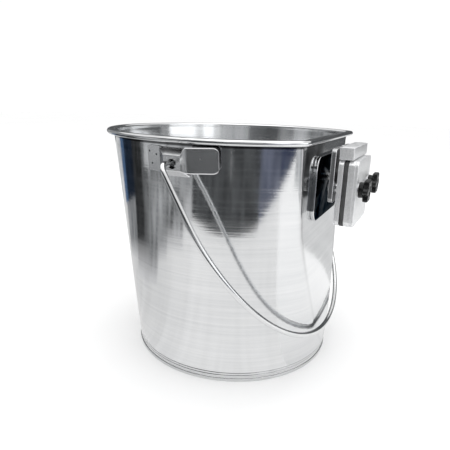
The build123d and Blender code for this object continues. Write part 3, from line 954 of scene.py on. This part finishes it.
# Glowing cards on or beyond the white table, seen only in the steel, that paint its reflections: name,
# azimuths in degrees from -Y towards +X, near and far distance in metres, darker and lighter colour,
# azimuth that a straight near edge faces, and the distances over which the thing fades in.
PAINTED_TABLE_REFLECTIONS = (
    ("near_left", (-125, -70), (0.11, 1.9), grey(0.74), grey(0.82), None, None),
    ("near_left_step", (-70, -52), (0.11, 1.9), grey(0.8), grey(0.87), None, None),
    ("near_middle", (-52, -30), (0.11, 1.9), grey(0.86), grey(0.92), None, None),
    ("near_front_step", (-30, -12), (0.11, 1.9), grey(0.93), grey(0.99), None, None),
    ("near_front", (-12, 60), (0.11, 1.9), grey(1.0), grey(1.06), None, None),
    ("left_edge", (-103, -80), (0.28, 0.6), grey(0.16, 0.08), grey(0.4, 0.05), None, (0.28, 0.37)),
    ("left_blue", (-106, -97), (0.6, 1.9), (0.06, 0.11, 0.2), (0.1, 0.17, 0.3), None, None),
    ("left_navy", (-97, -80), (0.6, 1.9), (0.005, 0.01, 0.02), (0.015, 0.025, 0.045), None, None),
    ("left_deep", (-80, -66), (0.23, 1.9), grey(0.008), grey(0.05, 0.08), None, (0.235, 0.38)),
    ("left_dusk", (-66, -58), (0.21, 1.9), grey(0.06, 0.06), grey(0.24, 0.05), None, (0.22, 0.36)),
    ("left_shade", (-58, -46), (0.23, 1.9), grey(0.08, 0.06), grey(0.5, 0.04), None, (0.235, 0.32)),
    ("left_pale", (-46, -36), (0.3, 1.9), grey(0.03, 0.06), grey(0.6, 0.04), None, (0.3, 0.37)),
    ("far_left", (-62, -36), (0.8, 1.9), grey(0.45, 0.04), grey(0.75, 0.03), None, None),
    ("front_left", (-36, -20), (0.34, 1.9), grey(0.04, 0.06), grey(0.8, 0.04), None, (0.34, 0.43)),
    ("front_gap", (-20, -12), (0.4, 1.9), grey(0.2, 0.05), grey(0.6, 0.04), None, (0.4, 0.6)),
    ("front_dark", (-12, 43), (0.385, 1.9), grey(0.05, 0.1), grey(0.13, 0.08), 20, None),
    ("front_blue", (43, 59.5), (0.358, 1.9), (0.09, 0.1, 0.14), (0.19, 0.21, 0.28), 7, None),
    ("front_navy", (59.5, 72), (0.361, 1.9), (0.03, 0.035, 0.07), (0.08, 0.1, 0.16), 7, None),
    ("right_light", (72, 84), (0.62, 1.9), grey(0.5, 0.05), grey(0.95, 0.03), None, None),
    ("right_grey", (84, 118), (0.6, 1.9), grey(0.45, 0.06), grey(0.8, 0.04), None, (0.6, 0.8)),
    ("behind_pale", (147.5, 235), (0.11, 1.9), grey(0.76, 0.01), grey(0.86, 0.01), None, None),
    ("far_left_light", (-125, -106), (0.7, 1.9), grey(0.4, 0.06), grey(0.9, 0.02), None, None),
    ("bright_line", (19.3, 19.9), (0.6, 0.84), grey(0.4, 0.03), grey(0.55, 0.03), None, None),
)
# Glowing upright cards round the studio, seen only in the steel, that paint its reflections of a room's
# walls and windows: name, azimuths, heights, darker and lighter colour.
PAINTED_ROOM_REFLECTIONS = (
    ("room_left", (-125, -75), (0, 1.1), grey(0.2, 0.06), grey(0.5, 0.04)),
    ("room_left_low", (-75, -55), (0, 1.1), grey(0.2, 0.05), grey(0.36, 0.05)),
    ("room_left_light", (-55, -38), (0, 0.6), grey(0.44, 0.05), grey(0.68, 0.03)),
    ("room_left_dim", (-38, -20), (0, 0.6), grey(0.2, 0.06), grey(0.38, 0.04)),
    ("room_dark", (-20, -2), (0, 0.6), grey(0.06, 0.08), grey(0.13, 0.08)),
    ("room_dusk", (-2, 14), (0, 0.6), grey(0.12, 0.08), grey(0.22, 0.06)),
    ("room_front", (14, 46), (0, 0.6), grey(0.45, 0.05), grey(0.75, 0.03)),
    ("room_front_high", (-55, 50), (0.6, 1.4), grey(0.02, 0.08), grey(0.07, 0.08)),
    ("room_bright", (46, 53), (0, 0.6), grey(0.8, 0.03), grey(1.0, 0.02)),
    ("window_small", (53, 65), (0, 1.1), grey(1.5, 0.02), grey(1.75, 0.03)),
    ("window_bar", (65, 74), (0, 1.1), grey(0.9, 0.03), grey(1.1, 0.03)),
    ("window_large", (74, 106), (0, 1.1), grey(1.5, 0.02), grey(1.75, 0.03)),
    ("room_right", (106, 118), (0, 1.1), grey(0.26, 0.05), grey(0.46, 0.04)),
    ("room_back_right", (118, 150), (0, 1.1), grey(0.09, 0.07), grey(0.2, 0.06)),
    ("room_behind", (150, 235), (0, 1.1), grey(0.05, 0.08), grey(0.2, 0.06)),
)
ROOM_RADIUS = 2.0


def painted_reflection_glow(name, low, high, fade=None):
    """Glowing material with soft radial bands between two colours, a painted reflection of dim things round
    a room.

    With fade it starts as bright as the table at the first distance and has its own colours at the second.
    """
    n = Nodes(name)
    place = n.add("ShaderNodeTexCoord").outputs["Object"]
    split = n.add("ShaderNodeSeparateXYZ", {"Vector": place})
    angle = n.add("ShaderNodeMath", {0: split.outputs["Y"], 1: split.outputs["X"]}, operation="ARCTAN2")
    around = n.add("ShaderNodeMath", {0: angle.outputs["Value"], 1: BANDS_AROUND}, operation="MULTIPLY")
    distance = n.add("ShaderNodeVectorMath", {0: place}, operation="LENGTH").outputs["Value"]
    along = n.add("ShaderNodeMath", {0: distance, 1: BANDS_OUTWARD}, operation="MULTIPLY")
    vector = n.add("ShaderNodeCombineXYZ", {"X": around.outputs["Value"], "Y": along.outputs["Value"]})
    bands = n.noise(1.0, 3.0, 0.55, vector=vector.outputs["Vector"])
    colour = n.tones(bands, (0.36, low), (0.64, high))
    if fade is not None:
        colour = n.layer(TABLE_GLOW, colour, n.spread(distance, 0.0, 1.0, *fade))
    emission = n.add("ShaderNodeEmission", {"Color": colour})
    n.tree.links.new(emission.outputs["Emission"], n.tree.nodes["Material Output"].inputs["Surface"])
    return n.material


def heading(azimuth):
    """Level direction at an azimuth in degrees, measured from -Y towards +X."""
    a = math.radians(azimuth)
    return Vector((math.sin(a), -math.cos(a), 0))


def reflected_only(piece, material):
    """Stage piece that is seen only in the steel, where its glowing material is a painted reflection."""
    piece.data.materials.append(material)
    piece.visible_camera = False
    piece.visible_diffuse = False
    piece.visible_shadow = False
    piece.visible_transmission = False


def floor_sector(name, span, reach, height, material, edge_azimuth=None):
    """Flat part of a ring round the pail; with edge_azimuth its near side is a straight table edge."""
    steps = max(2, int((span[1] - span[0]) / 3))
    near, far = [], []
    for i in range(steps + 1):
        azimuth = span[0] + (span[1] - span[0]) * i / steps
        start = reach[0]
        if edge_azimuth is not None:
            start /= math.cos(math.radians(azimuth - edge_azimuth))
        near.append(heading(azimuth) * start + Vector((0, 0, height)))
        far.append(heading(azimuth) * reach[1] + Vector((0, 0, height)))
    points = near + far
    count = len(near)
    faces = [(i, i + 1, count + i + 1, count + i) for i in range(count - 1)]
    reflected_only(mesh_object(name, points, faces), material)


def painted_reflection_wall(name, span, heights, material):
    """Upright card round the studio, seen only in the steel, that carries a painted reflection of a wall.
    """
    steps = max(2, int((span[1] - span[0]) / 4))
    points, faces = [], []
    for i in range(steps + 1):
        foot = heading(span[0] + (span[1] - span[0]) * i / steps) * ROOM_RADIUS
        points += [foot + Vector((0, 0, z)) for z in heights]
    for i in range(steps):
        faces.append((2 * i, 2 * i + 2, 2 * i + 3, 2 * i + 1))
    reflected_only(mesh_object(name, points, faces), material)


def make_floor():
    """Plain pale floor."""
    n = Nodes("studio_floor")
    n.set(
        Base_Color=n.tones(n.noise(3.0), (0.3, (0.96, 0.96, 0.96)), (0.7, (0.98, 0.98, 0.98))),
        Roughness=0.9,
        Specular_IOR_Level=0.1,
    )
    reach = 6.0
    corners = [Vector((x * reach, y * reach, 0)) for x, y in ((-1, -1), (1, -1), (1, 1), (-1, 1))]
    floor = mesh_object("studio_floor", corners, [(0, 1, 2, 3)])
    floor.data.materials.append(n.material)


def make_world():
    """Even white surroundings."""
    world = bpy.data.worlds.new("studio")
    bpy.context.scene.world = world
    world.use_nodes = True
    background = world.node_tree.nodes["Background"]
    background.inputs["Color"].default_value = (1.0, 1.0, 1.0, 1)
    background.inputs["Strength"].default_value = 1.03


def soft_light(name, spot, target, size, power):
    """Large rectangular light."""
    data = bpy.data.lights.new(name, "AREA")
    data.shape = "RECTANGLE"
    data.size, data.size_y = size
    data.energy = power
    light = new_object(name, data)
    aim = (Vector(target) - Vector(spot)).to_track_quat("-Z", "Y")
    light.matrix_world = Matrix.Translation(spot) @ aim.to_matrix().to_4x4()


def make_studio():
    """Floor, light, and glowing cards seen only in the steel that paint its reflections of a dim room
    beyond the white table.
    """
    make_floor()
    make_world()
    soft_light("top_light", (0.1, -0.1, 1.5), (0, 0, 0.1), (1.6, 1.6), 9)
    for i, (name, span, reach, low, high, edge_azimuth, fade) in enumerate(PAINTED_TABLE_REFLECTIONS):
        floor_sector(name, span, reach, (0.3 + 0.1 * i) * MM, painted_reflection_glow(name, low, high, fade), edge_azimuth)
    for name, span, heights, low, high in PAINTED_ROOM_REFLECTIONS:
        painted_reflection_wall(name, span, heights, painted_reflection_glow(name, low, high))


# ---------------------------------------------------------------- the object

def make_object():
    """Every visible piece."""
    wall = polished_wall("polished_wall")
    base = polished_wall("polished_base", 0.7, (0.16, 0.28), 0.02)
    ears = pressed_steel("pressed_sheet", 0.68, (0.22, 0.28))
    wire = bright_wire("bright_wire")
    mirror = mirror_steel("mirror_plate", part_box("hanger_plate")[1].x)
    bright = pressed_steel("bright_zinc", 0.62, (0.18, 0.3), 1500.0)
    # The docking plate's sheet is kept dark partly as painted shade, so the gap behind the mirror plate
    # reads dark.
    dull_and_shaded = pressed_steel("dull_and_shaded_sheet", 0.42, (0.26, 0.36), 1300.0)
    plate = satin_aluminium("satin_aluminium", stretch=(1, 0.1, 1))
    face = satin_aluminium("satin_face", 0.92, (1, 1, 0.1), (0.34, 0.45))
    rubber = grey_rubber("grey_pad")
    plastic = black_plastic("black_knob")
    brass = turned_brass("brass_insert")
    make_pail_body(wall)
    make_pail_bottom(base)
    make_ear(-1, "ear_near", ears)
    make_ear(1, "ear_far", ears)
    make_bail(wire)
    softened("hanger_plate", 0.2 * MM, mirror)
    softened("hanger_stud", 0.25 * MM, bright)
    softened("docking_plate", 0.35 * MM, dull_and_shaded)
    softened("clamp_back_plate", 0.35 * MM, plate)
    softened("clamp_pad", 0.3 * MM, rubber)
    softened("clamp_front_plate", 0.35 * MM, plate)
    softened("clamp_front_cover", 0.3 * MM, face)
    for side in ("near", "far"):
        softened("docking_spacer_" + side, 0.15 * MM, bright)
        softened("clamp_bolt_" + side, 0.1 * MM, bright)
        softened("washer_" + side, 0.15 * MM, bright)
        softened("knob_insert_" + side, 0.15 * MM, brass)
        make_knob("star_knob_" + side, plastic)


make_camera()
make_studio()
make_object()
bpy.context.scene.view_settings.view_transform = "Standard"
